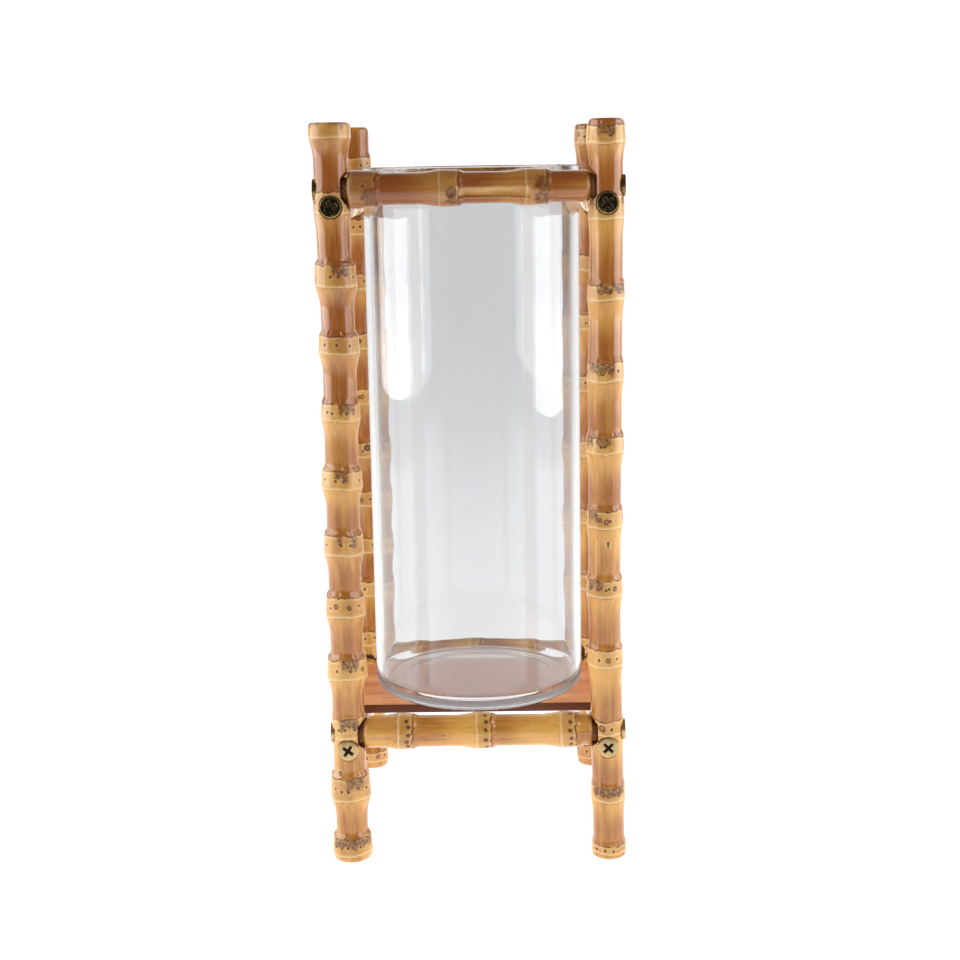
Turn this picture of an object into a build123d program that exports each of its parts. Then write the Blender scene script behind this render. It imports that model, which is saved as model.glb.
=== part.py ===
from build123d import *
import math
import os

# Frame: four corner canes on a near square plan, joined by eight rails round the glass
post_radius = 7.3
rail_radius = 6.75
lower_front_rail_extra = 0.35
lower_side_rail_extra = 0.55
glass_to_front_rail = 2.7
glass_to_side_rail = 1.45

# Heights: the upper rails from the glass's rim down, and the side rails a little lower than the front
# and back ones, so that the screws of one corner cross clear
lower_rail_height = 60.3
lower_side_rail_drop = 6.45
rim_to_upper_rail = 8.8
upper_side_rail_drop = 7.2
upper_rail_to_post_top = 28.1

# Cane nodes: a swollen band, a step at its crest, and beyond its ledge a flare back into the internode
post_flare = 7.5
rail_flare = 5.5
end_bevel = 1.2

# Joints: a shouldered tenon stands on the flat floor of a round socket and a wood screw draws it up
socket_depth = 2.9
socket_gap = 0.45
tenon_step = 1.55
shoulder_sink = 0.2
shoulder_clearance = 0.3
relief_gap = 0.5
overrun = 12.0

# Screws: flat round heads with a cross recess, sunk in a counterbore
screw_radius = 2.1
screw_length = 32.0
head_radius = 4.7
head_height = 2.4
head_sink = 1.4
counterbore_gap = 0.2
clearance_gap = 0.15
pilot_gap = 0.05
pilot_spare = 1.0
cross_reach = 2.5
cross_width = 0.95
cross_depth = 1.5
screw_turn_step = 137.5

# Glass cylinder
glass_radius = 50.0
glass_height = 247.0
glass_wall = 3.0
glass_base = 9.0
glass_foot_round = 4.5
glass_inner_bevel = 2.5
glass_rim_bevel = 0.7
glass_clearance = 0.25

# Base board of laminated bamboo, on flats planed on the lower side rails
board_overhang = 3.25
board_depth = 64.0
board_thickness = 4.2
board_shift = 4.0
board_bevel = 0.4
flat_depth = 0.4
flat_spare = 0.3

# Nodes of each post from foot to top, as shares: ledge and crest of the post's height, swell of its radius
front_left_node_shares = [
    (0.010, 0.034, 1.28),
    (0.090, 0.122, 1.26),
    (0.178, 0.206, 1.06),
    (0.263, 0.290, 1.27),
    (0.350, 0.377, 1.24),
    (0.435, 0.462, 1.22),
    (0.525, 0.549, 1.26),
    (0.616, 0.638, 1.16),
    (0.704, 0.727, 1.26),
    (0.791, 0.819, 1.27),
    (0.885, 0.912, 1.10),
    (0.980, 0.998, 1.26),
]
front_right_node_shares = [
    (0.008, 0.020, 1.10),
    (0.084, 0.104, 1.15),
    (0.179, 0.199, 1.04),
    (0.275, 0.299, 1.19),
    (0.373, 0.395, 1.15),
    (0.467, 0.490, 1.23),
    (0.568, 0.589, 1.22),
    (0.663, 0.687, 1.16),
    (0.769, 0.789, 1.14),
    (0.873, 0.903, 1.08),
    (0.969, 0.991, 1.16),
]
back_left_node_shares = [
    (0.010, 0.026, 1.18),
    (0.098, 0.120, 1.16),
    (0.203, 0.226, 1.12),
    (0.283, 0.306, 1.18),
    (0.353, 0.376, 1.20),
    (0.427, 0.450, 1.17),
    (0.504, 0.527, 1.21),
    (0.586, 0.609, 1.16),
    (0.670, 0.693, 1.19),
    (0.759, 0.782, 1.17),
    (0.841, 0.864, 1.14),
    (0.933, 0.956, 1.16),
]
back_right_node_shares = [
    (0.012, 0.034, 1.15),
    (0.098, 0.120, 1.15),
    (0.187, 0.210, 1.08),
    (0.289, 0.312, 1.18),
    (0.394, 0.417, 1.21),
    (0.499, 0.522, 1.17),
    (0.600, 0.623, 1.19),
    (0.694, 0.717, 1.16),
    (0.784, 0.807, 1.15),
    (0.878, 0.901, 1.08),
    (0.971, 0.993, 1.17),
]

# Nodes of each rail along its shoulder to shoulder length, as shares: crest, ledge, swell of its radius
upper_front_rail_shares = [(0.020, 0.240, 1.19), (0.395, 0.480, 1.19), (0.765, 0.855, 1.18)]
upper_back_rail_shares = [(0.175, 0.255, 1.18), (0.540, 0.620, 1.19), (0.890, 0.965, 1.17)]
upper_left_rail_shares = [(0.120, 0.200, 1.12), (0.480, 0.560, 1.12), (0.830, 0.910, 1.12)]
upper_right_rail_shares = [(0.060, 0.140, 1.12), (0.415, 0.495, 1.12), (0.760, 0.840, 1.12)]
lower_front_rail_shares = [(0.145, 0.212, 1.18), (0.485, 0.552, 1.19), (0.850, 0.920, 1.18)]
lower_back_rail_shares = [(0.135, 0.200, 1.16), (0.425, 0.490, 1.17), (0.725, 0.790, 1.16)]
lower_left_rail_shares = [(0.090, 0.165, 1.12), (0.460, 0.535, 1.12), (0.850, 0.925, 1.12)]
lower_right_rail_shares = [(0.140, 0.215, 1.12), (0.500, 0.575, 1.12), (0.870, 0.945, 1.12)]

# Worked out from the sizes above
lower_front_rail_radius = rail_radius + lower_front_rail_extra
lower_side_rail_radius = rail_radius + lower_side_rail_extra
half_x = glass_radius + glass_to_side_rail + lower_side_rail_radius
half_y = glass_radius + glass_to_front_rail + lower_front_rail_radius
lower_side_rail_height = lower_rail_height - lower_side_rail_drop
board_length = 2 * (half_x + board_overhang)
board_floor = lower_side_rail_height + lower_side_rail_radius - flat_depth
glass_floor = board_floor + board_thickness + glass_clearance
upper_rail_height = glass_floor + glass_height - rim_to_upper_rail
upper_side_rail_height = upper_rail_height - upper_side_rail_drop
post_height = upper_rail_height + upper_rail_to_post_top
socket_floor = post_radius - socket_depth
shoulder_reach = post_radius - shoulder_sink
head_floor = post_radius - head_sink

# Corners by name: sides of x and y, then the post's nodes
corners = {
    "front_left": (-1, -1, front_left_node_shares),
    "front_right": (1, -1, front_right_node_shares),
    "back_left": (-1, 1, back_left_node_shares),
    "back_right": (1, 1, back_right_node_shares),
}

# Rails by name: corners at the first and last end, height, radius, nodes
front_ends, back_ends = ("front_left", "front_right"), ("back_left", "back_right")
left_ends, right_ends = ("front_left", "back_left"), ("front_right", "back_right")
rails = {
    "upper_front": (*front_ends, upper_rail_height, rail_radius, upper_front_rail_shares),
    "upper_back": (*back_ends, upper_rail_height, rail_radius, upper_back_rail_shares),
    "upper_left": (*left_ends, upper_side_rail_height, rail_radius, upper_left_rail_shares),
    "upper_right": (*right_ends, upper_side_rail_height, rail_radius, upper_right_rail_shares),
    "lower_front": (*front_ends, lower_rail_height, lower_front_rail_radius, lower_front_rail_shares),
    "lower_back": (*back_ends, lower_rail_height, rail_radius, lower_back_rail_shares),
    "lower_left": (*left_ends, lower_side_rail_height, lower_side_rail_radius, lower_left_rail_shares),
    "lower_right": (*right_ends, lower_side_rail_height, lower_side_rail_radius, lower_right_rail_shares),
}


def corner_place(corner):
    """The post's axis at a corner, as x and y."""
    side_x, side_y = corners[corner][:2]
    return side_x * half_x, side_y * half_y


def rod(radius, start, end):
    """A round rod along +Z between two heights."""
    return Pos(0, 0, start) * Cylinder(radius, end - start, align=(Align.CENTER, Align.CENTER, Align.MIN))


def joint_plane(corner, other, height):
    """A plane on the post's axis at a corner, its normal along the rail towards the other corner."""
    x, y = corner_place(corner)
    other_x, other_y = corner_place(other)
    return Plane(origin=(x, y, height), x_dir=(0, 0, 1), z_dir=(other_x - x, other_y - y, 0))


def cane_outline(length, radius, nodes, flare):
    """Heights and radii along a cane: each node has its flare, band and step, and both ends are bevelled."""
    points = []
    for ledge, crest, swell in nodes:
        band = radius * swell
        points += [(ledge - flare, radius), (ledge, band), (crest, band), (crest, radius)]
    inside = [point for point in points if end_bevel < point[0] < length - end_bevel]
    first, last = inside[0][1], inside[-1][1]
    foot = [(0, first - end_bevel), (end_bevel, first)]
    top = [(length - end_bevel, last), (length, last - end_bevel)]
    return foot + inside + top


def cane(outline, length):
    """A solid cane along +Z: its outline turned about its own axis."""
    profile = Polyline((0, 0), *[(radius, height) for height, radius in outline], (0, length), close=True)
    return revolve(Plane.XZ * make_face(profile), Axis.Z)


def socket_cut(radius, node_shares):
    """A rail's socket in a post: a flat-floored bore, and a relief that clears the rail's widest node."""
    widest = max(swell for *_, swell in node_shares)
    bore = rod(rail_radius + socket_gap, socket_floor, shoulder_reach)
    return bore + rod(radius * widest + relief_gap, shoulder_reach - shoulder_clearance, overrun)


def screw_cut():
    """The screw's hole through a post: a counterbore for the head and a clearance hole for the shank."""
    counterbore = rod(head_radius + counterbore_gap, -overrun, -head_floor)
    return counterbore + rod(screw_radius + clearance_gap, -head_floor, socket_floor)


def post(corner):
    """A corner cane with the sockets and screw holes of the four rail ends that it carries."""
    node_shares = corners[corner][2]
    nodes = [(ledge * post_height, crest * post_height, swell) for ledge, crest, swell in node_shares]
    x, y = corner_place(corner)
    shape = Pos(x, y, 0) * cane(cane_outline(post_height, post_radius, nodes, post_flare), post_height)
    for first, last, height, radius, shares in rails.values():
        if corner in (first, last):
            other = last if corner == first else first
            shape -= joint_plane(corner, other, height) * (socket_cut(radius, shares) + screw_cut())
    return shape


def rail(name):
    """A rail cane between two shoulders, with a tenon and a pilot hole at each end."""
    first, last, height, radius, node_shares = rails[name]
    span = math.dist(corner_place(first), corner_place(last))
    length = span - 2 * shoulder_reach
    turned = [(length * (1 - ledge), length * (1 - crest), swell) for crest, ledge, swell in node_shares]
    body = Pos(0, 0, shoulder_reach) * cane(cane_outline(length, radius, turned[::-1], rail_flare), length)
    body += rod(rail_radius - tenon_step, socket_floor, span - socket_floor)
    reach = screw_length - head_floor + pilot_spare
    pilot = rod(screw_radius + pilot_gap, socket_floor, reach)
    shape = joint_plane(last, first, height) * (body - pilot)
    return shape - joint_plane(first, last, height) * pilot


def planed(shape):
    """A lower side rail with the flat on which the board lies."""
    flat = Box(
        board_length + 2 * flat_spare,
        board_depth + 2 * flat_spare,
        overrun,
        align=(Align.CENTER, Align.CENTER, Align.MIN),
    )
    return shape - Pos(0, -board_shift, board_floor) * flat


def screw(corner, other, height, turn):
    """A wood screw along its joint, head outside the post, with a cross recess turned by an angle."""
    head = rod(head_radius, -head_floor - head_height, -head_floor)
    shank = rod(screw_radius, -head_floor, screw_length - head_floor)
    slot = Pos(0, 0, -head_floor - head_height) * Box(2 * cross_reach, cross_width, 2 * cross_depth)
    recess = Rotation(0, 0, turn) * (slot + Rotation(0, 0, 90) * slot)
    return joint_plane(corner, other, height) * (head + shank - recess)


def glass_cylinder():
    """The glass: a round cylinder with a thick base, a rounded foot and a bevelled rim."""
    outer = rod(glass_radius, 0, glass_height)
    outer = fillet(outer.edges().group_by(Axis.Z)[0], glass_foot_round)
    hollow = rod(glass_radius - glass_wall, glass_base, glass_height)
    hollow = chamfer(hollow.edges().group_by(Axis.Z)[0], glass_inner_bevel)
    shape = outer - hollow
    shape = chamfer(shape.edges().group_by(Axis.Z)[-1], glass_rim_bevel)
    return Pos(0, 0, glass_floor) * shape


def base_board():
    """The board under the glass: a thin plate with softened top edges."""
    plate = Box(board_length, board_depth, board_thickness, align=(Align.CENTER, Align.CENTER, Align.MIN))
    plate = chamfer(plate.edges().group_by(Axis.Z)[-1], board_bevel)
    return Pos(0, -board_shift, board_floor) * plate


def write_parts():
    """Writes each piece to its own file."""
    os.makedirs("parts", exist_ok=True)
    pieces = {"glass_cylinder": glass_cylinder(), "base_board": base_board()}
    for corner in corners:
        pieces[f"post_{corner}"] = post(corner)
    for name in rails:
        shape = rail(name)
        pieces[f"rail_{name}"] = planed(shape) if name in ("lower_left", "lower_right") else shape
    for name, (first, last, height, *_) in rails.items():
        for corner, other in ((first, last), (last, first)):
            (end,) = set(corner.split("_")) - set(other.split("_"))
            turn = screw_turn_step * len(pieces)
            pieces[f"screw_{name}_rail_{end}_end"] = screw(corner, other, height, turn)
    for name, shape in pieces.items():
        export_step(shape, os.path.join("parts", f"{name}.step"))


write_parts()
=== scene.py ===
import math

import bpy
import numpy as np
from mathutils import Matrix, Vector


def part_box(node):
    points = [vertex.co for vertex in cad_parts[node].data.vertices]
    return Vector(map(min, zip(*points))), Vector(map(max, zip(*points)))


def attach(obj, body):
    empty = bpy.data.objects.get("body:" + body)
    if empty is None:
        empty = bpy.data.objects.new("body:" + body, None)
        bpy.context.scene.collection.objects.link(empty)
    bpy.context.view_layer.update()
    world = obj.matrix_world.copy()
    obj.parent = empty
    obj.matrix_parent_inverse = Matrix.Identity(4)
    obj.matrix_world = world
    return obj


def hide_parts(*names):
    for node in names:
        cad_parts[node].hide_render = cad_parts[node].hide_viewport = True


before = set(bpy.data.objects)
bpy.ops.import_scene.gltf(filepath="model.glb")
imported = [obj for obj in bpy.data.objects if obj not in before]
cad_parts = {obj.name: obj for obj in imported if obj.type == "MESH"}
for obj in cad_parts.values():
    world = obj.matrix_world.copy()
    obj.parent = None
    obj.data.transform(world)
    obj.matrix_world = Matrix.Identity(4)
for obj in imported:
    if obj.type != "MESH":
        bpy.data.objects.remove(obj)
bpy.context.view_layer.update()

MM = 0.001
TAU = 2 * math.pi

# Canes: how a node swells and falls back, and how finely the surface is laid out
LEDGE_FLARE = 9.0 * MM
CREST_STEP = 3.0 * MM
CREST_SHARE = 0.74
EDGE_GROOVE = 0.14 * MM
EDGE_WIDTH = 0.26 * MM
ROOT_DENT = 0.2 * MM
WAVE = 0.34 * MM
END_ROUND = 1.1 * MM
COLUMNS = 138
DOT_RADIUS = 0.78 * MM
RING_RADIUS = 1.15 * MM

# Joints, as in the frame's joinery
POST_RADIUS = 7.3 * MM
SOCKET_FLOOR = 4.4 * MM
SOCKET_RADIUS = 7.2 * MM
SHOULDER = 7.1 * MM
RELIEF_RADIUS = 8.6 * MM
TENON_RADIUS = 5.2 * MM
HEAD_RADIUS = 4.7 * MM
HEAD_FLOOR = 5.9 * MM
HEAD_TOP = 8.3 * MM
HEAD_GAP = 0.2 * MM
SCREW_RADIUS = 2.1 * MM
SCREW_END = 26.1 * MM

# Nodes of the posts, foot to top: lower edge and crest as shares of the height, swell of the radius
POST_NODE_SHARES = {
    "front_left": [
        (0.010, 0.034, 1.26), (0.090, 0.122, 1.26), (0.178, 0.206, 1.06), (0.263, 0.290, 1.26),
        (0.350, 0.377, 1.22), (0.435, 0.462, 1.22), (0.525, 0.549, 1.25), (0.616, 0.638, 1.18),
        (0.704, 0.727, 1.24), (0.791, 0.819, 1.27), (0.885, 0.912, 1.10), (0.980, 1.010, 1.24),
    ],
    "front_right": [
        (0.008, 0.020, 1.10), (0.084, 0.104, 1.10), (0.179, 0.199, 1.03), (0.275, 0.299, 1.12),
        (0.373, 0.395, 1.15), (0.467, 0.490, 1.12), (0.568, 0.589, 1.18), (0.663, 0.687, 1.12),
        (0.769, 0.789, 1.14), (0.873, 0.903, 1.08), (0.969, 0.991, 1.16),
    ],
    "back_left": [
        (0.010, 0.026, 1.17), (0.098, 0.120, 1.16), (0.203, 0.226, 1.12), (0.283, 0.306, 1.18),
        (0.353, 0.376, 1.20), (0.427, 0.450, 1.17), (0.504, 0.527, 1.20), (0.586, 0.609, 1.16),
        (0.670, 0.693, 1.19), (0.759, 0.782, 1.17), (0.841, 0.864, 1.14), (0.933, 0.956, 1.16),
    ],
    "back_right": [
        (0.012, 0.034, 1.14), (0.098, 0.120, 1.15), (0.187, 0.210, 1.08), (0.289, 0.312, 1.18),
        (0.394, 0.417, 1.20), (0.499, 0.522, 1.17), (0.600, 0.623, 1.19), (0.694, 0.717, 1.16),
        (0.784, 0.807, 1.15), (0.878, 0.901, 1.08), (0.971, 0.993, 1.16),
    ],
}

# Bows of the posts: share of the height, then x and y as shares of the post's radius
POST_BOW_SHARES = {
    "front_left": [(0, 0.02, 0), (0.2, 0, 0), (0.5, 0.06, -0.03), (0.72, 0.16, 0.04), (0.88, 0, 0), (1, -0.02, 0)],
    "front_right": [(0, 0.10, 0), (0.15, 0, 0), (0.34, -0.16, 0.04), (0.62, -0.10, -0.04), (0.88, 0, 0), (1, -0.03, 0)],
    "back_left": [(0, 0.05, -0.04), (0.2, 0, 0), (0.45, 0.07, -0.05), (0.7, -0.05, 0.0), (0.88, 0, 0), (1, 0.02, 0)],
    "back_right": [(0, -0.04, -0.04), (0.2, 0, 0), (0.48, -0.08, -0.06), (0.74, 0.0, 0.0), (0.88, 0, 0), (1, 0.0, 0)],
}

# Nodes of the rails, from the left or front end: ledge and crest as shares of the shoulder length, swell
RAIL_NODE_SHARES = {
    "upper_front": [(0.012, 0.117, 1.20), (0.375, 0.456, 1.18), (0.731, 0.820, 1.17)],
    "upper_back": [(0.175, 0.240, 1.17), (0.540, 0.610, 1.18), (0.890, 0.955, 1.16)],
    "upper_left": [(0.120, 0.190, 1.12), (0.480, 0.550, 1.12), (0.830, 0.900, 1.12)],
    "upper_right": [(0.060, 0.130, 1.12), (0.415, 0.485, 1.12), (0.760, 0.830, 1.12)],
    "lower_front": [(0.148, 0.212, 1.17), (0.491, 0.557, 1.18), (0.862, 0.928, 1.17)],
    "lower_back": [(0.150, 0.205, 1.16), (0.440, 0.495, 1.17), (0.735, 0.795, 1.16)],
    "lower_left": [(0.090, 0.160, 1.12), (0.460, 0.530, 1.12), (0.850, 0.920, 1.12)],
    "lower_right": [(0.140, 0.210, 1.12), (0.500, 0.570, 1.12), (0.870, 0.940, 1.12)],
}

# Root scars by node number: a kind, then degrees from the front (to the right on a post, up on a rail);
# a patch is a dark stretch between two such angles
ROOT_SCARS = {
    "front_left": {
        0: [("dot", -59, -15, 22), ("patch", -70, 70)], 1: [("dot", -51, -28, -8, 22, 51), ("patch", -13, 41)],
        2: [("dot", -60, -38, -13, 20), ("patch", -35, 35)], 3: [("dot", -31, 9), ("ring", 50), ("patch", -21, 43)],
        5: [("dot", -60, -8, 20), ("patch", -20, -4), ("patch", 25, 45)], 6: [("dot", -56, -19, 3, 59), ("patch", -25, 16)],
        7: [("dot", -42, -25, 17), ("patch", -7, 52)], 8: [("dot", -44, -6, 31)],
        9: [("dot", -14, 7, 27, 58), ("patch", -14, 45)], 11: [("patch", -75, -30), ("patch", -5, 60)],
    },
    "front_right": {
        0: [("dot", -45, -13, 15)], 1: [("ring", -45, -18, 6, 38), ("patch", -62, 64)], 2: [("big", -17), ("dot", 17)],
        3: [("dot", -21, 39), ("ring", 9)], 4: [("ring", -50, -22, 33), ("dot", 4, 14), ("patch", -60, -5)],
        5: [("ring", -16, 5), ("dot", 17), ("patch", -68, -22)], 6: [("dot", -11, 0), ("patch", -30, 24), ("patch", -75, -38)],
        7: [("ring", -9, 16), ("dot", 43), ("patch", -63, 30)], 8: [("ring", -16, 12, 45), ("patch", -27, 77)],
        9: [("patch", -57, -20), ("patch", 55, 80)], 10: [("dot", 14), ("patch", -27, 30)],
    },
    "upper_front": {0: [("dot", -30, 10), ("patch", -60, 5)], 1: [("patch", -70, -30)], 2: [("ring", 5, -40), ("patch", -70, 40)]},
    "lower_front": {
        0: [("knob", 32, 12, -15, -39, -57)], 1: [("knob", 53, 26, 0, -34, -67)], 2: [("knob", 59, 22, -5, -32, -57)],
    },
}
# Lone marks off the nodes: share of the length, degrees from the front, radius in millimetres
LONE_SCARS = {
    "front_left": [(0.129, -38, 1.1), (0.60, -20, 0.35), (0.845, 30, 0.3)],
    "front_right": [(0.445, 12, 0.9), (0.24, -50, 0.5), (0.62, 44, 0.35), (0.70, -30, 0.3)],
    "back_left": [(0.519, 15, 1.6)],
    "lower_front": [(0.35, -20, 0.4), (0.72, 30, 0.35)],
}
# The dormant bud on the upper front rail and the furrow that it has pressed beside it
BUD = {"share": 0.428, "degrees": -16, "radius": 3.1 * MM, "furrow_end": 0.738, "furrow_depth": 1.1 * MM}
RAIL_RADIUS = {"lower_front": 7.1 * MM, "lower_left": 7.3 * MM, "lower_right": 7.3 * MM}
PLAIN_RAIL_RADIUS = 6.75 * MM

# Ripeness, and darkening that is partly a darker tone and partly painted shade, added to a cane at its foot, left or
# front end and at its other end
CANE_TONE = {
    "front_left": (-0.28, 0.15, 0.0, 0.42), "front_right": (-0.2, 0.05, 0.0, 0.15),
    "back_left": (-0.1, 0.15, 0.0, 0.2), "back_right": (-0.1, 0.15, 0.05, 0.15),
    "upper_front": (0.2, 0.0, 0.95, 0.55), "upper_back": (0.1, 0.1, 0.5, 0.5),
    "upper_left": (0.0, 0.1, 0.3, 0.3), "upper_right": (0.0, 0.1, 0.3, 0.3),
    "lower_front": (-0.2, -0.25, 0.0, 0.0), "lower_back": (0.0, 0.0, 0.2, 0.2),
}
PLAIN_TONE = (-0.1, -0.1, 0.1, 0.1)
# How far the cross of each screw head that faces the front is turned, in degrees
SEEN_TURN = {
    "screw_upper_left_rail_front_end": 68, "screw_upper_right_rail_front_end": 52,
    "screw_lower_left_rail_front_end": 35, "screw_lower_right_rail_front_end": 45,
}

# Where the frame puts the posts' axes and the rails' axes
corner_box = {corner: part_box(f"post_{corner}") for corner in POST_NODE_SHARES}
camera_place = (0.01232, -0.77987, 0.31586)
CORNER = {
    corner: np.array([(low.x + high.x) / 2, (low.y + high.y) / 2, 0.0])
    for corner, (low, high) in corner_box.items()
}
POST_HEIGHT = corner_box["front_left"][1].z
RAIL_HEIGHT = {
    name: sum(corner.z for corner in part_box(f"screw_{name}_rail_{end}_end")) / 2
    for name, end in (
        [(f"{level}_{side}", "left") for level in ("upper", "lower") for side in ("front", "back")]
        + [(f"{level}_{side}", "front") for level in ("upper", "lower") for side in ("left", "right")]
    )
}
RAIL_ENDS = {
    "front": ("front_left", "front_right"),
    "back": ("back_left", "back_right"),
    "left": ("front_left", "back_left"),
    "right": ("front_right", "back_right"),
}


def eased(x):
    """Smooth step from 0 to 1 of values clipped to that range: 3x^2 - 2x^3."""
    x = np.clip(x, 0, 1)
    return x * x * (3 - 2 * x)


def bell(x, width):
    """A bell of height 1 round zero: e to the minus square of x over its width."""
    return np.exp(-((x / width) ** 2))


class Value:
    """A socket with arithmetic: an expression on values adds its Math nodes."""

    def __init__(self, finish, socket):
        self.finish, self.socket = finish, socket

    def math(self, operation, *terms):
        settings = {"operation": operation, "use_clamp": False}
        return self.finish.add("ShaderNodeMath", settings, dict(enumerate(terms)))

    def __add__(self, other):
        return self.math("ADD", self, other)

    def __sub__(self, other):
        return self.math("SUBTRACT", self, other)

    def __rsub__(self, other):
        return self.math("SUBTRACT", other, self)

    def __mul__(self, other):
        return self.math("MULTIPLY", self, other)

    def __pow__(self, other):
        return self.math("POWER", self, other)

    __radd__ = __add__
    __rmul__ = __mul__

    def between(self, low, high):
        """0 below low, 1 above high, and a smooth step between."""
        settings = {"interpolation_type": "SMOOTHSTEP", "clamp": True}
        return self.finish.add("ShaderNodeMapRange", settings, {0: self, 1: low, 2: high, 3: 0.0, 4: 1.0})


class Finish:
    """A surface finish under construction: one node material and the nodes that it needs."""

    def __init__(self, name):
        self.material = bpy.data.materials.new(name)
        self.material.use_nodes = True
        self.nodes, self.links = self.material.node_tree.nodes, self.material.node_tree.links
        self.nodes.clear()

    def add(self, kind, settings=None, inputs=None, output=0):
        """Adds a node: its settings first, then the values or links of its sockets."""
        node = self.nodes.new(kind)
        for key, setting in (settings or {}).items():
            setattr(node, key, setting)
        for key, given in (inputs or {}).items():
            if isinstance(given, Value):
                self.links.new(given.socket, node.inputs[key])
            else:
                node.inputs[key].default_value = given
        return Value(self, node.outputs[output]) if len(node.outputs) else None

    def mask(self, name):
        return self.add("ShaderNodeAttribute", {"attribute_name": name}, output=2)

    def place(self, scale=(1, 1, 1)):
        """Object coordinates, stretched by a scale along each axis."""
        spot = self.add("ShaderNodeTexCoord", output=3)
        return self.add("ShaderNodeMapping", {}, {"Vector": spot, "Scale": scale})

    def noise(self, vector, scale, detail=3.0, roughness=0.55, distortion=0.0):
        inputs = {"Vector": vector, "Scale": scale, "Detail": detail, "Roughness": roughness}
        return self.add("ShaderNodeTexNoise", {}, {**inputs, "Distortion": distortion})

    def mix(self, factor, first, second, blend="MIX"):
        """Mixes two colours."""
        settings = {"data_type": "RGBA", "blend_type": blend}
        return self.add("ShaderNodeMix", settings, {0: factor, 6: first, 7: second}, output=2)

    def bump(self, height, distance, strength=1.0):
        return self.add("ShaderNodeBump", {}, {"Strength": strength, "Distance": distance, "Height": height})

    def surface(self, **inputs):
        named = {key.replace("_", " "): given for key, given in inputs.items()}
        return self.add("ShaderNodeBsdfPrincipled", {}, named)

    def done(self, shader):
        self.add("ShaderNodeOutputMaterial", {}, {"Surface": shader})
        return self.material


def shade(red, green, blue):
    """A screen colour of 0 to 255 as linear light."""
    channels = [channel / 255 for channel in (red, green, blue)]
    return (*[((c + 0.055) / 1.055) ** 2.4 if c > 0.04 else c / 12.92 for c in channels], 1.0)


def varnished_cane(name, along):
    """Cane under gloss varnish: fibres along the cane, brown below each node and straw on it, dark scars, a painted
    highlight along each ledge and crest, and darkening that is partly a darker tone and partly painted shade.
    """
    cane = Finish(name)
    fibre_scale, cloud_scale, wrinkle_scale = [1.0, 1.0, 1.0], [1.0, 1.0, 1.0], [0.12, 0.12, 0.12]
    fibre_scale[along], cloud_scale[along], wrinkle_scale[along] = 0.045, 0.4, 1.0
    fibres = cane.noise(cane.place(fibre_scale), 1000.0, 3.0, 0.6)
    streaks = cane.noise(cane.place(fibre_scale), 300.0, 2.0, 0.5)
    clouds = cane.noise(cane.place(cloud_scale), 95.0, 4.0, 0.6)
    specks = cane.noise(cane.place(), 1300.0, 3.0, 0.7)
    wrinkles = cane.noise(cane.place(wrinkle_scale), 1500.0, 2.0, 0.6)
    band, scar, cut, ripe, highlight_and_rims = (cane.mask(mask) for mask in ("band", "scar", "cut", "ripe", "highlight_and_rims"))
    depth = (ripe + (clouds - 0.5) * 1.2 + (streaks - 0.5) * 0.9).between(0.0, 1.15)
    skin = cane.mix(depth, shade(226, 168, 82), shade(160, 90, 26))
    skin = cane.mix(fibres.between(0.5, 0.75) * 0.3, skin, shade(128, 66, 20))
    skin = cane.mix(fibres.between(0.25, 0.5) * -0.22 + 0.22, skin, shade(240, 184, 104))
    straw = cane.mix(clouds.between(0.35, 0.65), shade(226, 178, 100), shade(190, 132, 60))
    straw = cane.mix(specks.between(0.5, 0.68) * 0.5, straw, shade(150, 96, 44))
    skin = cane.mix((band + (clouds - 0.5) * 0.9).between(0.25, 1.15) * 0.75, skin, straw)
    # Painted highlight along the ledges and crests, and pale rims round the scars
    skin = cane.mix(highlight_and_rims * 0.75, skin, shade(246, 214, 152))
    mottle = cane.noise(cane.place(), 850.0, 3.0, 0.65).between(0.32, 0.66)
    dark = (scar * 1.8 - (1.0 - mottle) * 0.5).between(0.05, 0.95) * (scar * 4.0).between(0.0, 1.0)
    skin = cane.mix(dark * 0.9, skin, cane.mix(mottle, shade(104, 50, 18), shade(58, 20, 3)))
    # Darkening that is partly a darker tone of the cane and partly painted shade, strongest on the upper rails
    skin = cane.mix(cane.mask("toast"), skin, cane.mix(0.35, shade(120, 56, 12), skin))
    grain = cane.mix(specks.between(0.4, 0.6), shade(150, 96, 48), shade(84, 46, 20))
    skin = cane.mix(cut, skin, grain)
    relief = fibres * 0.3 + specks * (scar * 0.9 + cut * 0.8 + band * 0.25) + clouds * 0.4 + wrinkles * (0.15 + band * 0.4)
    shader = cane.surface(
        Base_Color=skin,
        Roughness=0.24 + scar * 0.2 + band * 0.1 + cut * 0.5,
        IOR=1.5,
        Coat_Weight=(1.0 - (scar * 0.7 + cut)) * 0.6,
        Coat_Roughness=0.08,
        Normal=cane.bump(relief, 0.12 * MM, 0.8),
    )
    return cane.done(shader)


def stained_board():
    """Laminated strips running left to right under a red-brown stain, with painted shade on the edges of the board."""
    board = Finish("stained_strip_board")
    fibres = board.noise(board.place((0.03, 1.0, 1.0)), 1400.0, 4.0, 0.6)
    clouds = board.noise(board.place((0.2, 1.0, 1.0)), 90.0, 3.0, 0.5)
    seam, strip, side = (board.mask(mask) for mask in ("seam", "strip", "side"))
    light = board.mix(strip, shade(226, 156, 92), shade(202, 122, 64))
    face = board.mix((fibres * 0.6 + clouds * 0.4).between(0.3, 0.72), light, shade(158, 78, 34))
    face = board.mix(seam * 0.65, face, shade(92, 40, 20))
    # Painted shade on the board's edges and ends
    face = board.mix(side * 0.95, face, shade(84, 32, 12))
    shader = board.surface(
        Base_Color=face,
        Roughness=0.34 + fibres * 0.12,
        Coat_Weight=0.4,
        Coat_Roughness=0.15,
        Normal=board.bump(fibres, 0.08 * MM, 0.6),
    )
    return board.done(shader)


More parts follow.
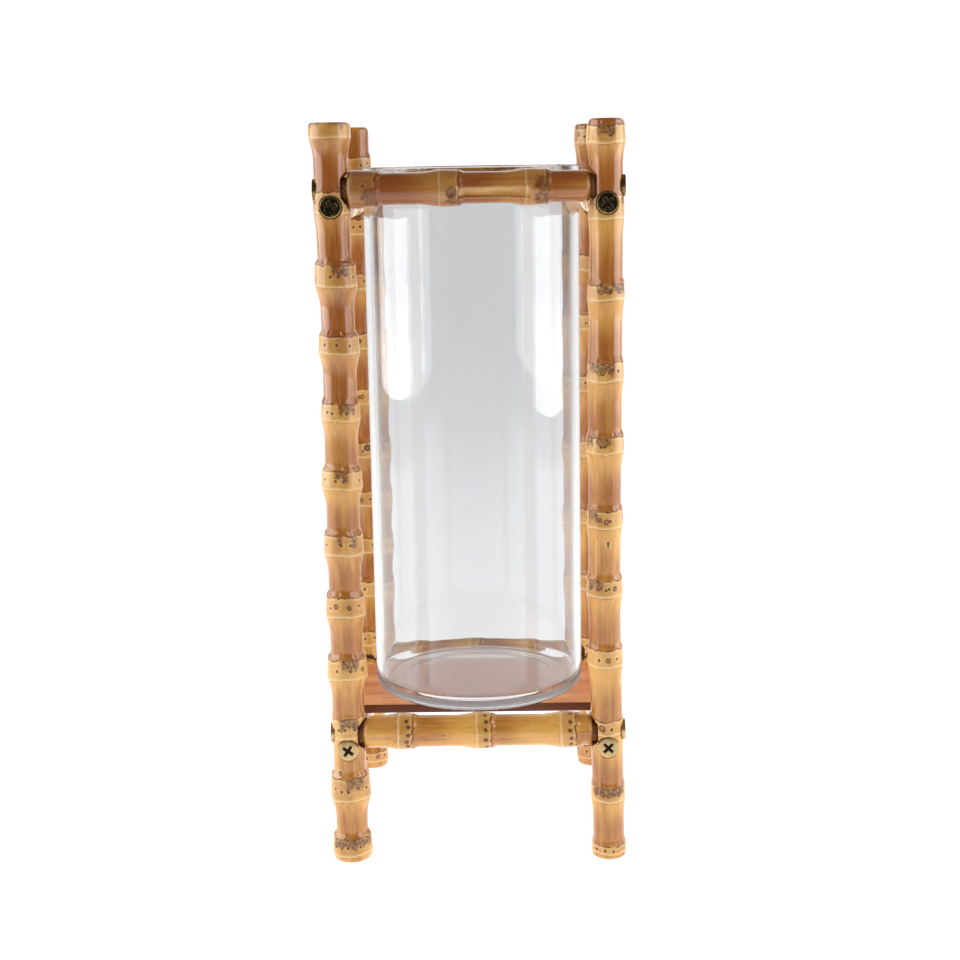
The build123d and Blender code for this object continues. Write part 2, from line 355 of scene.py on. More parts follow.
def clear_glass():
    """Clear soda glass, faintly milky on the underside of its foot."""
    glass = Finish("clear_soda_glass")
    milk = glass.mask("ground")
    clear = glass.surface(
        Base_Color=glass.mix(milk, (0.765, 0.77, 0.78, 1.0), (0.84, 0.85, 0.86, 1.0)),
        Roughness=milk * 0.35,
        IOR=1.5,
        Transmission_Weight=1.0,
    )
    return glass.done(clear)


def screw_metal(name, base, worn_and_glint, roughness):
    """Plated screw steel: a base colour, paler in patches, brighter in a painted glint on the head's rim and the recess
    edges, and dark in the recess as painted shade.
    """
    metal = Finish(name)
    cloud = metal.noise(metal.place(), 420.0, 2.0, 0.5)
    rim, deep = metal.mask("rim"), metal.mask("deep")
    tone = metal.mix(cloud.between(0.4, 0.75) * 0.35, base, worn_and_glint)
    # Painted glint on the head's rim and along the edges of the recess
    tone = metal.mix(rim, tone, worn_and_glint)
    # Painted shade in the cross recess
    tone = metal.mix(deep, tone, shade(26, 16, 8))
    shader = metal.surface(
        Base_Color=tone,
        Metallic=1.0 - deep * 0.8,
        Roughness=roughness + (cloud - 0.5) * 0.2 + deep * 0.4,
        Normal=metal.bump(cloud, 0.03 * MM, 0.5),
    )
    return metal.done(shader)


def put_mesh(name, points, faces, masks, material, slot, *nodes):
    """Makes a piece from points in metres, faces and masks per point, and names the nodes it stands for."""
    mesh = bpy.data.meshes.new(name)
    mesh.from_pydata(points.astype(np.float32), [], faces)
    mesh.polygons.foreach_set("use_smooth", np.ones(len(mesh.polygons), bool))
    for mask, strength in masks.items():
        attribute = mesh.attributes.new(mask, "FLOAT", "POINT")
        attribute.data.foreach_set("value", strength.astype(np.float32).ravel())
    mesh.materials.append(material)
    mesh.update()
    piece = bpy.data.objects.new(name, mesh)
    bpy.context.scene.collection.objects.link(piece)
    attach(piece, "glass" if name.startswith("glass") else "frame")
    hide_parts(*nodes)
    return piece


def closed_tube(rows, columns):
    """Faces of a tube of rows by columns points, then one pole point at each end, all facing outwards."""
    row = np.arange(rows - 1)[:, None] * columns
    column = np.arange(columns)[None, :]
    onward = (column + 1) % columns
    quads = np.stack([row + column, row + onward, row + columns + onward, row + columns + column], -1)
    ring, turned = np.arange(columns), (np.arange(columns) + 1) % columns
    last = (rows - 1) * columns
    first_pole, last_pole = rows * columns, rows * columns + 1
    start = np.stack([turned, ring, np.full(columns, first_pole)], -1)
    finish = np.stack([last + ring, last + turned, np.full(columns, last_pole)], -1)
    return quads.reshape(-1, 4).tolist() + start.tolist() + finish.tolist()


def with_poles(grid, first, last):
    """The grid's points as a list, with the two pole points after them."""
    return np.concatenate([grid.reshape(-1, grid.shape[-1]), [first], [last]])


def pole_mask(grid_mask):
    """A mask of the grid with the end rows' mean for the poles."""
    return np.concatenate([grid_mask.ravel(), [grid_mask[0].mean()], [grid_mask[-1].mean()]])


def laid_rows(length, nodes, joint_places):
    """Heights of a cane's rows: close together in the nodes and at joints, wide apart between them."""
    steps = np.linspace(0, length, 6000)
    pitch = np.full_like(steps, 1.6 * MM)
    for low, high, _ in nodes:
        away = np.maximum(np.maximum(low - steps, steps - high), 0)
        pitch = np.minimum(pitch, 0.3 * MM + 1.3 * MM * eased((away - 1.0 * MM) / (7 * MM)))
    for place in joint_places:
        away = np.abs(steps - place)
        pitch = np.minimum(pitch, 0.45 * MM + 2 * MM * eased((away - 8.8 * MM) / (3 * MM)))
    count = np.concatenate([[0], np.cumsum(np.diff(steps) / pitch[1:])])
    return np.interp(np.linspace(0, count[-1], int(count[-1]) + 1), count, steps)


def turned(angle, where):
    """Angle from a place, between minus and plus half a turn."""
    return (angle - where + math.pi) % TAU - math.pi


def root_scar(kind, far):
    """Darkness of a scar at a distance from its centre: a full dot, or a pale dot in a dark ring."""
    if kind == "dot":
        return 1 - eased((far - 0.5 * DOT_RADIUS) / (0.7 * DOT_RADIUS))
    if kind == "knob":
        return np.maximum(1 - eased((far - 0.55 * MM) / (0.45 * MM)), 0.4 * (1 - eased((far - 1.0 * MM) / (0.7 * MM))))
    size = RING_RADIUS * (1.35 if kind == "big" else 1)
    centre = 1 - eased((far - 0.12 * size) / (0.25 * size))
    return np.maximum(bell(far - 0.75 * size, 0.3 * size), 0.8 * centre)


def cane_skin(cane, length, radius, nodes, front, sense, joint_places=()):
    """Surface of a cane along its own axis.

    Radius = waist + for each node a band that falls from its ledge to its crest, a long flare before the
    ledge and a short step beyond the crest, less fine grooves at both and a dent at each root scar. Ledge
    and crest wander with the angle. Returns heights, angles, radii and masks as grids.
    """
    random = np.random.default_rng(sum(map(ord, cane)))
    rows = laid_rows(length, nodes, joint_places)
    angles = np.arange(COLUMNS) / COLUMNS * TAU
    height, angle = np.meshgrid(rows, angles, indexing="ij")
    swing = random.uniform(0, TAU, 12)
    pace = random.uniform(-3, 3, 12) / (60 * MM)
    wander = sum(
        share * np.sin(turns * angle + swing[k] + pace[k] * height)
        for k, (turns, share) in enumerate([(1, 0.5), (2, 0.6), (3, 0.4), (5, 0.3), (8, 0.2), (13, 0.12)])
    )
    scallop = sum(
        share * np.sin(turns * angle + swing[6 + k] + 3 * pace[6 + k] * height)
        for k, (turns, share) in enumerate([(7, 0.5), (11, 0.4), (17, 0.3), (26, 0.2)])
    )
    girth = radius * (1 + 0.010 * np.cos(2 * angle + swing[0]) + 0.006 * np.sin(height / (23 * MM) + swing[1]))
    ridges = sum(
        np.cos(turns * angle + swing[turns % 11] + 0.7 * np.sin(swing[turns % 7]) * height / (40 * MM)) / turns
        for turns in (5, 7, 9, 12, 15)
    )
    girth = girth + 0.04 * MM * ridges
    rise, groove = np.zeros_like(height), np.zeros_like(height)
    band, scar, highlight_and_rims = np.zeros_like(height), np.zeros_like(height), np.zeros_like(height)
    ripe = np.full_like(height, 0.55)
    above_crest = np.full_like(height, -1.0)
    for number, (ledge, crest, swell) in enumerate(nodes):
        past_ledge = height + WAVE * wander - ledge
        past_crest = height + WAVE * (wander + scallop) - crest
        width = crest - ledge
        share = np.clip(past_ledge / np.maximum(past_ledge - past_crest, 1e-6), 0, 1)
        flare = np.clip(1 + past_ledge / LEDGE_FLARE, 0, 1) ** 1.6
        on_band = 1 - (1 - CREST_SHARE) * share**1.3
        step = CREST_SHARE * (1 - eased(past_crest / CREST_STEP))
        swollen = np.where(past_ledge < 0, flare, np.where(past_crest < 0, on_band, step))
        rise = np.maximum(rise, swollen * (swell - 1) * radius)
        groove += bell(past_crest - 0.05 * MM, EDGE_WIDTH * 1.3) + bell(past_ledge + EDGE_WIDTH, EDGE_WIDTH)
        inside = eased((past_ledge + 0.3 * MM) / (0.8 * MM)) * (1 - eased((past_crest + 0.6 * MM) / (1.0 * MM)))
        band = np.maximum(band, inside)
        band = np.maximum(band, 0.45 * np.exp(np.minimum(past_ledge, 0) / (4 * MM)) * (past_ledge < 0))
        # Painted highlight just past the ledge and just short of the crest
        highlight_and_rims = np.maximum(highlight_and_rims, 0.8 * bell(past_ledge - 0.35 * MM, 0.6 * MM))
        highlight_and_rims = np.maximum(highlight_and_rims, 0.5 * bell(past_crest + 0.7 * MM, 0.35 * MM))
        patchy = 0.5 + 0.5 * np.sin(3 * angle + swing[3] + 2 * number) * np.sin(7 * angle + swing[4] - number)
        scar = np.maximum(scar, bell(past_crest - 0.1 * MM, EDGE_WIDTH * 1.6) * (0.3 + 0.55 * patchy))
        scar = np.maximum(scar, 0.42 * bell(past_ledge + 0.4 * MM, 0.28 * MM))
        ripe = np.where(past_crest > 0, 0.92 - 0.62 * eased((past_crest - 6 * MM) / (18 * MM)), ripe)
        ripe = ripe + (past_crest > 0) * random.uniform(-0.12, 0.12)
        given = ROOT_SCARS.get(cane, {}).get(number, [])
        dots = int(random.integers(9, 13))
        start = random.uniform(0, TAU)
        scars = [
            (random.choice(["dot", "dot", "ring"]), start + (k + random.uniform(-0.25, 0.25)) / dots * TAU)
            for k in range(dots)
        ]
        if given:
            scars = [(kind, at) for kind, at in scars if abs(turned(at, front)) > math.radians(78)]
        scars += [(kind, front + sense * math.radians(at)) for kind, *places in given for at in places if kind != "patch"]
        middle = ledge + (0.68 if cane == "lower_front" else 0.52) * width
        bounds_of_band = (1 - eased((-past_ledge - 0.1 * MM) / (0.4 * MM))) * (1 - eased((past_crest - 0.1 * MM) / (0.5 * MM)))
        for kind, at in scars:
            sideways = turned(angle, at) * radius * swell
            off = random.uniform(-0.07, 0.07) * width
            far = np.hypot(sideways, height + WAVE * wander - middle - off)
            mark = root_scar(kind, far) * bounds_of_band * (random.uniform(0.75, 1.0) if kind != "knob" else 1)
            scar = np.maximum(scar, mark)
            groove += mark * (ROOT_DENT / EDGE_GROOVE)
            highlight_and_rims = np.maximum(highlight_and_rims, 0.35 * bell(far - 1.5 * DOT_RADIUS, 0.3 * MM) * (kind == "dot"))
        for low, high in [ends for kind, *ends in given if kind == "patch"]:
            centre, half = math.radians(low + high) / 2, math.radians(high - low) / 2
            off = np.abs(turned(angle, front + sense * centre)) * radius * swell
            edge = half * radius * swell + 0.5 * MM * scallop
            across = 1 - eased((off - edge + 1.0 * MM) / (2.0 * MM))
            along = eased((share - 0.22 + 0.1 * scallop) / 0.45) * bounds_of_band
            scar = np.maximum(scar, 0.5 * across * along)
            groove += 0.5 * across * along
    for share, degrees, size in LONE_SCARS.get(cane, []):
        sideways = turned(angle, front + sense * math.radians(degrees)) * radius
        far = np.hypot(sideways, height - share * length) / (size * MM)
        mark = np.maximum(0.85 * bell(far - 0.8, 0.3), 0.6 * (1 - eased(far - 0.1)))
        scar = np.maximum(scar, mark)
        groove += 0.6 * mark
        highlight_and_rims = np.maximum(highlight_and_rims, 0.8 * bell(far - 1.4, 0.25))
    furrow = np.zeros_like(height)
    if cane == "upper_front":
        sideways = turned(angle, front + sense * math.radians(BUD["degrees"])) * radius * 1.1
        off = height - BUD["share"] * length
        far = np.hypot(sideways, off) / BUD["radius"]
        scar = np.maximum(scar, 0.62 * bell(far - 0.55, 0.35) + 0.5 * bell(far, 0.3))
        rise += 0.55 * MM * bell(far - 0.75, 0.28) - 0.35 * MM * bell(far, 0.35)
        run = eased((off - 0.7 * BUD["radius"]) / (1.5 * MM)) * (1 - eased((height - BUD["furrow_end"] * length) / (3 * MM)))
        channel = run * np.clip(1 - (sideways / (2.4 * MM)) ** 2, 0, 1) ** 0.6
        rise -= BUD["furrow_depth"] * channel
        furrow = channel
        band = np.maximum(band, 1.3 * run * (1 - eased((np.abs(sideways) - 1.7 * MM) / (0.6 * MM))))
        scar = np.maximum(scar, 0.5 * run * bell(np.abs(sideways) - 2.45 * MM, 0.3 * MM))
    radii = girth + rise - EDGE_GROOVE * groove
    tip = np.minimum(height, length - height)
    rounding = np.clip(1 - tip / END_ROUND, 0, 1)
    radii = radii - END_ROUND * 0.8 * (1 - np.sqrt(np.clip(1 - rounding**2, 0, 1)))
    low_ripe, high_ripe, low_tone_and_shade, high_tone_and_shade = CANE_TONE.get(cane, PLAIN_TONE)
    rising = eased(height / length)
    masks = {"band": np.clip(band, 0, 1.3), "scar": np.clip(scar, 0, 1), "highlight_and_rims": highlight_and_rims}
    masks["ripe"] = ripe + low_ripe + (high_ripe - low_ripe) * rising
    # Darkening that is partly a darker tone and partly painted shade, running from one end of the cane to the other and
    # weaker in the furrow
    masks["toast"] = (low_tone_and_shade + (high_tone_and_shade - low_tone_and_shade) * rising) * (1 - 0.8 * furrow)
    return height, angle, radii, masks


def capped(height, radii, masks, length, tenon=0.0):
    """Adds end faces to a cane: rings that shrink to the axis, stepping over a tenon where there is one."""
    shrink = [0.97, 0.85, 0.65, 0.45, 0.25, 0.1]

    def end_rows(edge, at, outward):
        if not tenon:
            rings = np.array([[share * edge] for share in shrink]).reshape(len(shrink), -1)
            dish = np.array([0.02, 0.0, -0.05, -0.12, -0.25, -0.3])[:, None] * MM * outward
            return rings, np.broadcast_to(at + dish, rings.shape), np.ones_like(rings)
        level = np.array([0.0, 0.0, 0.35, 1.0, 1.0, 1.0])[:, None]
        sizes = np.array([1.3, 1.0, 1.0, 1.0, 0.6, 0.2])[:, None] * TENON_RADIUS
        sizes = np.minimum(sizes, edge[None, :] * 0.99)
        reach = (SHOULDER - SOCKET_FLOOR) * outward
        return sizes, np.broadcast_to(at + level * reach, sizes.shape), np.ones_like(sizes)

    first_r, first_h, first_cut = end_rows(radii[0], 0.0, -1)
    last_r, last_h, last_cut = end_rows(radii[-1], length, 1)
    radii = np.concatenate([first_r[::-1], radii, last_r])
    height = np.concatenate([first_h[::-1], height, last_h])
    full = {
        name: np.concatenate([np.repeat(mask[:1], len(first_r), 0), mask, np.repeat(mask[-1:], len(last_r), 0)])
        for name, mask in masks.items()
    }
    full["cut"] = np.concatenate([first_cut, np.zeros_like(masks["band"]), last_cut])
    return height, radii, full


def bow_of(shares, heights):
    """Sideways drift of a post's axis: its shares joined by smooth steps."""
    table = np.array(shares)
    fine = np.linspace(0, 1, 200)
    smooth = [np.convolve(np.pad(np.interp(fine, table[:, 0], table[:, k]), 12, "edge"), np.hanning(25) / np.hanning(25).sum(), "valid") for k in (1, 2)]
    return [np.interp(heights / POST_HEIGHT, fine, side) * POST_RADIUS for side in smooth]


def bored(x, y, height, masks, toward, at, radius, floor, snap):
    """Sinks a round flat-floored bore across a post: points within its circle drop to the floor."""
    reach = x * toward[0] + y * toward[1]
    side = y * toward[0] - x * toward[1]
    rise = height - at
    away = np.hypot(side, rise)
    near = (np.abs(away - radius) < snap) & (reach > floor)
    pull = np.where(near, radius / np.maximum(away, 1e-9), 1)
    side, rise = side * pull, rise * pull
    inside = (away < radius) & (reach > floor)
    reach = np.where(inside, floor, reach)
    masks["cut"] = np.where(inside, 1.0, masks["cut"])
    return reach * toward[0] - side * toward[1], reach * toward[1] + side * toward[0], at + rise


def rail_joints(corner):
    """The joints on a post: unit vector towards the rail, and the height of the rail's axis."""
    found = []
    for name, at in RAIL_HEIGHT.items():
        ends = RAIL_ENDS[name.split("_")[1]]
        if corner in ends:
            other = ends[1] if corner == ends[0] else ends[0]
            step = CORNER[other] - CORNER[corner]
            found.append((step[:2] / np.hypot(*step[:2]), at))
    return found


def post(corner, material):
    """A corner post: cane skin along +Z, bowed, with its sockets, reliefs and screw counterbores."""
    nodes = [(low * POST_HEIGHT, high * POST_HEIGHT, swell) for low, high, swell in POST_NODE_SHARES[corner]]
    joints = rail_joints(corner)
    front = -math.pi / 2 + math.atan2(camera_place[0] - CORNER[corner][0], CORNER[corner][1] - camera_place[1])
    height, angle, radii, masks = cane_skin(
        corner, POST_HEIGHT, POST_RADIUS, nodes, front, 1, [at for _, at in joints]
    )
    height, radii, masks = capped(height, radii, masks, POST_HEIGHT)
    angle = np.broadcast_to(angle[:1], height.shape)
    x, y = radii * np.cos(angle), radii * np.sin(angle)
    for toward, at in joints:
        away = (-toward[0], -toward[1])
        x, y, height = bored(x, y, height, masks, away, at, HEAD_RADIUS + HEAD_GAP, HEAD_FLOOR, 0.16 * MM)
        x, y, height = bored(x, y, height, masks, toward, at, RELIEF_RADIUS, SHOULDER - 0.3 * MM, 0.16 * MM)
        x, y, height = bored(x, y, height, masks, toward, at, SOCKET_RADIUS, SOCKET_FLOOR, 0.16 * MM)
    bow_x, bow_y = bow_of(POST_BOW_SHARES[corner], height)
    grid = np.stack([x + bow_x, y + bow_y, np.clip(height, 0, POST_HEIGHT)], -1) + CORNER[corner]
    points = with_poles(grid, grid[0].mean(0), grid[-1].mean(0))
    masks = {name: pole_mask(mask) for name, mask in masks.items()}
    faces = closed_tube(len(height), COLUMNS)
    return put_mesh(f"cane_post_{corner}", points, faces, masks, material, "bamboo_cane", f"post_{corner}")


def rail(name, material):
    """A rail: cane skin along +X or +Y between two shoulders, with a dark tenon at each end."""
    first, last = (CORNER[corner] for corner in RAIL_ENDS[name.split("_")[1]])
    span = np.linalg.norm(last - first)
    length = span - 2 * SHOULDER
    radius = RAIL_RADIUS.get(name, PLAIN_RAIL_RADIUS)
    nodes = [(ledge * length, crest * length, swell) for ledge, crest, swell in RAIL_NODE_SHARES[name]]
    away = camera_place[2] - RAIL_HEIGHT[name]
    front = math.pi - math.atan2(away, CORNER["front_left"][1] - camera_place[1])
    height, angle, radii, masks = cane_skin(name, length, radius, nodes, front, -1)
    height, radii, masks = capped(height, radii, masks, length, tenon=TENON_RADIUS)
    angle = np.broadcast_to(angle[:1], height.shape)
    side, up = radii * np.cos(angle), radii * np.sin(angle)
    if name in ("lower_left", "lower_right"):
        board_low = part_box("base_board")[0]
        below = board_low.z - 0.02 * MM - RAIL_HEIGHT[name]
        place = height + first[1] + SHOULDER
        board_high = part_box("base_board")[1]
        under = (place > board_low.y - 0.3 * MM) & (place < board_high.y + 0.3 * MM)
        up = np.where(under, np.minimum(up, below), up)
    grid = np.stack([height + SHOULDER, side, up], -1)
    if name.split("_")[1] in ("left", "right"):
        grid = np.stack([-side, height + SHOULDER, up], -1)
    grid = grid + first + np.array([0, 0, RAIL_HEIGHT[name]])
    points = with_poles(grid, grid[0].mean(0), grid[-1].mean(0))
    masks = {mask: pole_mask(strength) for mask, strength in masks.items()}
    faces = closed_tube(len(height), COLUMNS)
    return put_mesh(f"cane_rail_{name}", points, faces, masks, material, "bamboo_cane", f"rail_{name}")


def screw(name, corner, other, at, turn, material, slot):
    """A wood screw: rings from the tip up a threaded shank, under the head and over its face to the centre.

    The thread is a saw wave of height over pitch minus angle; the cross recess is sunk where a point of the
    face lies within either arm, deepest at the centre.
    """
    columns = 96
    angle = np.arange(columns) / columns * TAU
    shank = np.linspace(SCREW_END, -HEAD_FLOOR, 72)
    tip = eased((SCREW_END - shank) / (4 * MM))
    wave = (shank[:, None] / (1.7 * MM) - angle[None, :] / TAU) % 1.0
    tooth = 1 - np.abs(2 * wave - 1)
    threaded = (1 - eased((-shank - HEAD_FLOOR * -0.1 - 2 * MM) / (2 * MM)))[:, None]
    shank_r = tip[:, None] * (SCREW_RADIUS - 0.45 * MM * threaded * (1 - tooth)) + 0.05 * MM
    shank_z = np.repeat(shank[:, None], columns, 1)
    edge = np.linspace(0, math.pi / 2, 6)
    rim = 0.45 * MM
    side_r = np.concatenate([[HEAD_RADIUS - 0.3 * MM, HEAD_RADIUS], HEAD_RADIUS - rim + rim * np.cos(edge)])
    side_z = np.concatenate([[-HEAD_FLOOR, -HEAD_FLOOR - 0.3 * MM], -HEAD_TOP + rim - rim * np.sin(edge)])
    face_r = np.linspace(HEAD_RADIUS - rim, 0.05 * MM, 46)[1:]
    ring_r = np.concatenate([side_r, face_r])[:, None] * np.ones(columns)
    ring_z = np.concatenate([side_z, np.full(len(face_r), -HEAD_TOP)])[:, None] * np.ones(columns)
    px, py = ring_r * np.cos(angle - turn), ring_r * np.sin(angle - turn)
    deep = np.zeros_like(px)
    for a, b in ((px, py), (py, px)):
        arm = (1 - eased((np.abs(b) - 0.5 * MM) / (0.3 * MM))) * (1 - eased((np.abs(a) - 2.5 * MM) / (0.5 * MM)))
        deep = np.maximum(deep, arm)
    bowl = 1.5 * MM * (1 - 0.45 * np.clip(np.hypot(px, py) / (2.4 * MM), 0, 1))
    dome = 0.4 * MM * np.clip(ring_r / HEAD_RADIUS, 0, 1) ** 2 * (ring_z < -HEAD_TOP + 0.3 * MM)
    ring_z = ring_z + deep * bowl + dome
    radius, place = np.concatenate([shank_r, ring_r]), np.concatenate([shank_z, ring_z])
    deep = np.concatenate([np.zeros_like(shank_r), deep])
    # Painted glint: a bright ring at the rim of the head and bright edges on the cross recess
    painted_glint = bell(radius - (HEAD_RADIUS - 0.25 * MM), 0.22 * MM) * (place < -HEAD_FLOOR)
    painted_glint = np.maximum(painted_glint, 2.4 * deep * (1 - deep) * (0.5 + 0.5 * np.sin(angle - turn)))
    toward = (CORNER[other] - CORNER[corner]) / np.linalg.norm(CORNER[other] - CORNER[corner])
    across = np.array([toward[1], -toward[0], 0.0])
    up = np.array([0, 0, 1.0])
    centre = CORNER[corner] + up * at
    grid = (
        centre
        + place[..., None] * toward
        + (radius * np.cos(angle))[..., None] * -across
        + (radius * np.sin(angle))[..., None] * up
    )
    first, last = grid[0].mean(0), grid[-1].mean(0)
    faces = [face[::-1] for face in closed_tube(len(radius), columns)]
    points = with_poles(grid, first, last)
    # The rim mask carries the painted glint; the deep mask also darkens the recess as painted shade
    masks = {"deep": pole_mask(deep), "rim": pole_mask(painted_glint)}
    return put_mesh(f"wood_{name}", points, faces, masks, material, slot, name)


def glass_cylinder(material):
    """The glass: its outline (foot, wall, rim, inner wall, inner floor) turned about +Z."""
    low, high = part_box("glass_cylinder")
    radius, foot, rim = (high.x - low.x) / 2, low.z, high.z
    wall, base, round_foot, round_inner = 2.6 * MM, 4.2 * MM, 4.5 * MM, 4.0 * MM
    quarter = np.linspace(0, math.pi / 2, 12)
    lip = 0.7 * MM
    outline = [(share * (radius - round_foot), foot + 0.5 * MM * (1 - eased((share - 0.72) / 0.1))) for share in np.linspace(0.02, 1, 60)]
    outline += list(zip(radius - round_foot + round_foot * np.sin(quarter), foot + round_foot * (1 - np.cos(quarter))))
    outline += [(radius, level) for level in np.linspace(foot + round_foot + 2 * MM, rim - lip - 1 * MM, 24)]
    outline += [(radius - lip + lip * math.cos(a), rim - lip + lip * math.sin(a)) for a in quarter]
    outline += [(radius - wall + lip - lip * math.sin(a), rim - lip + lip * math.cos(a)) for a in quarter]
    inner = radius - wall
    outline += [(inner, level) for level in np.linspace(rim - lip - 1 * MM, foot + base + round_inner + 2 * MM, 24)]
    outline += [
        (inner - round_inner + round_inner * math.cos(a), foot + base + round_inner - round_inner * math.sin(a))
        for a in quarter
    ]
    outline += [
        (share * (inner - round_inner), foot + base - 0.35 * MM * (1 - share**2))
        for share in np.linspace(0.97, 0.02, 20)
    ]
    outline = np.array(outline)
    columns = 192
    angle = np.arange(columns) / columns * TAU
    grid = np.stack(
        [outline[:, :1] * np.cos(angle), outline[:, :1] * np.sin(angle), outline[:, 1:] * np.ones(columns)], -1
    )
    grid = grid + np.array([(low.x + high.x) / 2, (low.y + high.y) / 2, 0])
    ground = np.where(np.arange(len(outline)) < 60, 1 - eased((outline[:, 0] - 0.84 * radius) / (0.06 * radius)), 0.0)
    ground = ground[:, None] * np.ones(columns)
    points = with_poles(grid, grid[0].mean(0), grid[-1].mean(0))
    faces = closed_tube(len(outline), columns)
    piece = put_mesh("glass_vase_cylinder", points, faces, {"ground": pole_mask(ground)}, material, "clear_glass", "glass_cylinder")
    piece.visible_shadow = False
    return piece


def base_board(material):
    """The board: a rounded rectangle carried along +X, with a shallow seam between each two strips."""
    low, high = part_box("base_board")
    width, thick, length = high.y - low.y, high.z - low.z, high.x - low.x
    strips, corner = 4, 0.5 * MM
    top = np.linspace(width / 2 - corner, -width / 2 + corner, 260)
    quarter = np.linspace(0, math.pi / 2, 5)[1:-1]
    half = thick / 2

    def arc(cy, cz, start):
        return [(cy + corner * math.cos(start + a), cz + corner * math.sin(start + a)) for a in quarter]

    outline = [(y, half) for y in top]
    outline += arc(-width / 2 + corner, half - corner, math.pi / 2)
    outline += [(-width / 2, z) for z in np.linspace(half - corner, -half + corner, 12)]
    outline += arc(-width / 2 + corner, -half + corner, math.pi)
    outline += [(y, -half) for y in top[::-1]]
    outline += arc(width / 2 - corner, -half + corner, 1.5 * math.pi)
    outline += [(width / 2, z) for z in np.linspace(-half + corner, half - corner, 12)]
    outline += arc(width / 2 - corner, half - corner, 0)
    outline = np.array(outline)
    strip_at = (outline[:, 0] / width + 0.5) * strips
    to_seam = np.abs(strip_at - np.round(strip_at)) * width / strips
    inner_seam = (np.round(strip_at) > 0) & (np.round(strip_at) < strips)
    seam = bell(to_seam, 0.25 * MM) * inner_seam
    strip = np.array([0.1, 0.8, 0.35, 0.95])[np.clip(strip_at.astype(int), 0, strips - 1)]
    # Where the painted edge shade lies: the long edges of the board
    side = np.clip(eased((np.abs(outline[:, 0]) - width / 2 + 0.35 * MM) / (0.3 * MM)), 0, 1)
    sunk = outline[:, 1] - np.sign(outline[:, 1]) * 0.12 * MM * seam
    along = np.concatenate([[0, 0.15, 0.5], np.linspace(0.8, length / MM - 0.8, 40), [length / MM - 0.5, length / MM - 0.15, length / MM]]) * MM
    inset = np.clip(0.5 * MM - np.minimum(along, length - along), 0, 1)
    shrink = [0.995, 0.8, 0.5, 0.2]
    scale_y = np.concatenate([shrink[::-1], 1 - inset / (width / 2), shrink])[:, None]
    scale_z = np.concatenate([shrink[::-1], 1 - inset / half, shrink])[:, None]
    scale_z[: len(shrink)] *= 1 - inset[0] / half
    scale_z[-len(shrink):] *= 1 - inset[0] / half
    along = np.concatenate([np.zeros(4), along, np.full(4, length)])[:, None]
    ones = np.ones_like(outline[:, 0])[None, :]
    grid = np.stack([low.x + along * ones, (low.y + high.y) / 2 + outline[:, 0] * scale_y, (low.z + high.z) / 2 + sunk * scale_z], -1)
    spread = np.ones((len(along), 1))
    # The board's ends take the painted edge shade too
    ends = np.zeros((len(along), 1))
    ends[:5], ends[-5:] = 1, 1
    masks = {
        "seam": pole_mask(seam * spread),
        "strip": pole_mask(strip * spread),
        "side": pole_mask(np.maximum(side * spread, ends)),
    }
    points = with_poles(grid, grid[0].mean(0), grid[-1].mean(0))
    faces = closed_tube(len(along), len(outline))
    return put_mesh("strip_board", points, faces, masks, material, "bamboo_board", "base_board")


def build_vase():
    """Makes every piece of the vase."""
    upright = varnished_cane("varnished_cane_upright", 2)
    crosswise = varnished_cane("varnished_cane_crosswise", 0)
    lengthwise = varnished_cane("varnished_cane_lengthwise", 1)
    bronze = screw_metal("antique_bronze_screw", shade(48, 42, 26), shade(214, 184, 120), 0.2)
    brass = screw_metal("dull_brass_screw", shade(186, 158, 114), shade(230, 204, 156), 0.34)
    for corner in POST_NODE_SHARES:
        post(corner, upright)
    for name in RAIL_NODE_SHARES:
        rail(name, lengthwise if name.endswith(("left", "right")) else crosswise)
    turn = 20.0
    for name, at in RAIL_HEIGHT.items():
        first, last = RAIL_ENDS[name.split("_")[1]]
        upper = name.startswith("upper")
        for corner, other in ((first, last), (last, first)):
            end = (set(corner.split("_")) - set(other.split("_"))).pop()
            turn += 37.5
            piece = f"screw_{name}_rail_{end}_end"
            metal, slot = (bronze, "bronze_screw") if upper else (brass, "brass_screw")
            screw(piece, corner, other, at, math.radians(SEEN_TURN.get(piece, turn)), metal, slot)
    glass_cylinder(clear_glass())
    base_board(stained_board())


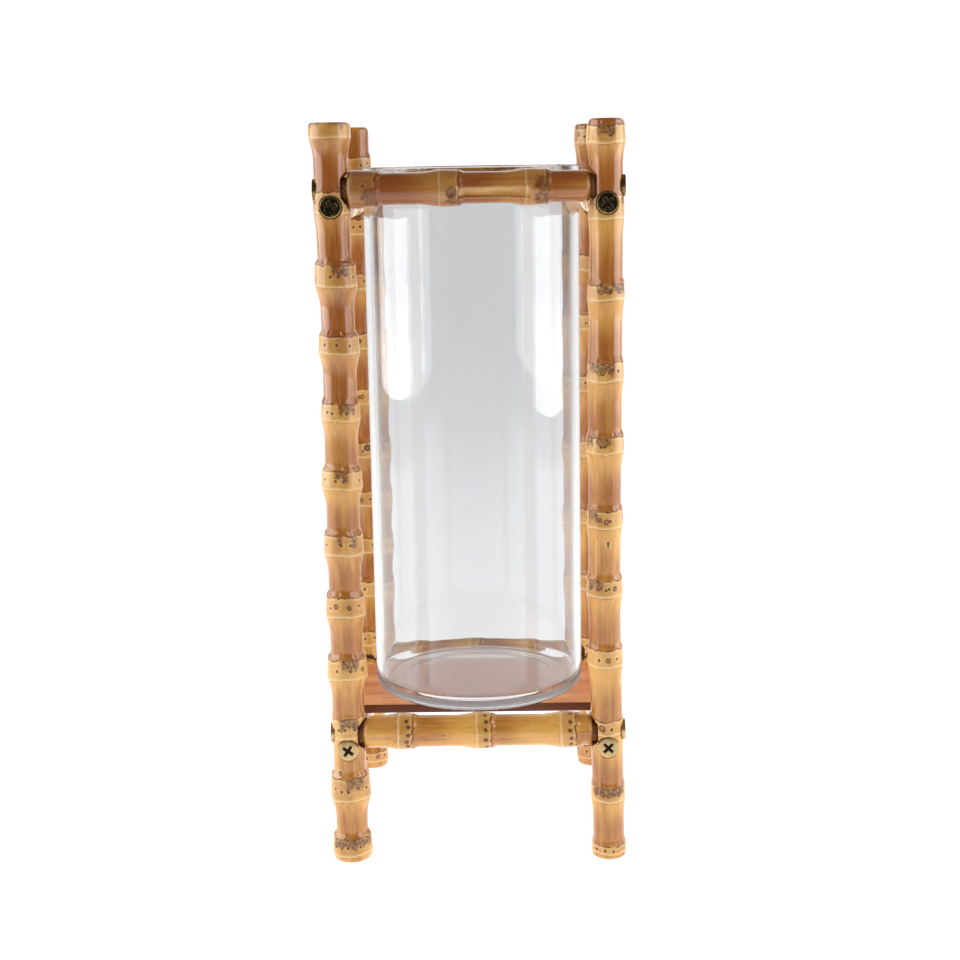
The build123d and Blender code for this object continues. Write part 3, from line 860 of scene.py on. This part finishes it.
def studio():
    """White sweep, soft lights at both sides, and the camera at the photograph's angle."""
    floor = Finish("white_sweep")
    spot = floor.add("ShaderNodeTexCoord", output=3)
    depth = floor.add("ShaderNodeSeparateXYZ", {}, {0: spot}, output=1)
    aside = floor.add("ShaderNodeSeparateXYZ", {}, {0: spot}, output=0)
    lit = depth.between(-1.3, -0.2) * (1.0 - (aside * aside).between(2.5, 10.0))
    glow = floor.mix(lit, (0, 0, 0, 1), (1, 1, 1, 1))
    paper = floor.surface(Base_Color=(0.62, 0.62, 0.62, 1), Roughness=0.9, Emission_Color=glow, Emission_Strength=0.82)
    paper = floor.done(paper)
    bend = np.linspace(0, math.pi / 2, 16)
    depth, turn_radius, wall = 1.6, 0.8, 3.0
    profile = [(-2.2, 0.0), (0.0, 0.0)]
    profile += [(depth + turn_radius * math.sin(a), turn_radius * (1 - math.cos(a))) for a in bend]
    profile += [(depth + turn_radius, wall)]
    points = [(x, y, z) for y, z in profile for x in (-4.0, 4.0)]
    faces = [[2 * k, 2 * k + 1, 2 * k + 3, 2 * k + 2] for k in range(len(profile) - 1)]
    sweep = bpy.data.meshes.new("sweep")
    sweep.from_pydata(points, [], faces)
    sweep.polygons.foreach_set("use_smooth", np.ones(len(faces), bool))
    sweep.materials.append(paper)
    sweep_piece = bpy.data.objects.new("sweep", sweep)
    bpy.context.scene.collection.objects.link(sweep_piece)

    def softbox(name, place, aim, size_x, size_y, power):
        lamp = bpy.data.lights.new(name, "AREA")
        lamp.shape, lamp.size, lamp.size_y, lamp.energy = "RECTANGLE", size_x, size_y, power
        holder = bpy.data.objects.new(name, lamp)
        bpy.context.scene.collection.objects.link(holder)
        back = np.array(place, float) - np.array(aim, float)
        back /= np.linalg.norm(back)
        right = np.cross((0, 0, 1.0), back)
        right /= np.linalg.norm(right)
        up = np.cross(back, right)
        holder.matrix_world = Matrix([(*row, spot) for row, spot in zip(np.stack([right, up, back], 1).tolist(), place)] + [(0, 0, 0, 1)])

    softbox("softbox_left", (-1.0, -0.15, 0.74), (0, -0.15, 0.74), 1.25, 1.34, 17)
    softbox("softbox_right", (1.0, -0.2, 0.73), (0, -0.2, 0.73), 1.1, 1.36, 15)

    world = bpy.context.scene.world or bpy.data.worlds.new("studio")
    bpy.context.scene.world = world
    world.use_nodes = True
    background = next(node for node in world.node_tree.nodes if node.type == "BACKGROUND")
    background.inputs["Color"].default_value = (1, 1, 1, 1)
    background.inputs["Strength"].default_value = 0.13

    lens = bpy.data.cameras.new("photo_camera")
    lens.lens, lens.sensor_width = 62.31, 36.0
    camera = bpy.data.objects.new("photo_camera", lens)
    bpy.context.scene.collection.objects.link(camera)
    pitch, yaw, roll = 0.1916, -0.0133, -0.0165
    forward = np.array([math.sin(yaw) * math.cos(pitch), math.cos(yaw) * math.cos(pitch), -math.sin(pitch)])
    level = np.array([math.cos(yaw), -math.sin(yaw), 0.0])
    above = np.cross(level, forward)
    right = math.cos(roll) * level + math.sin(roll) * above
    up = -math.sin(roll) * level + math.cos(roll) * above
    camera.matrix_world = Matrix([(right[k], up[k], -forward[k], camera_place[k]) for k in range(3)] + [(0, 0, 0, 1)])
    bpy.context.scene.camera = camera
    bpy.context.scene.view_settings.view_transform = "Standard"


build_vase()
studio()
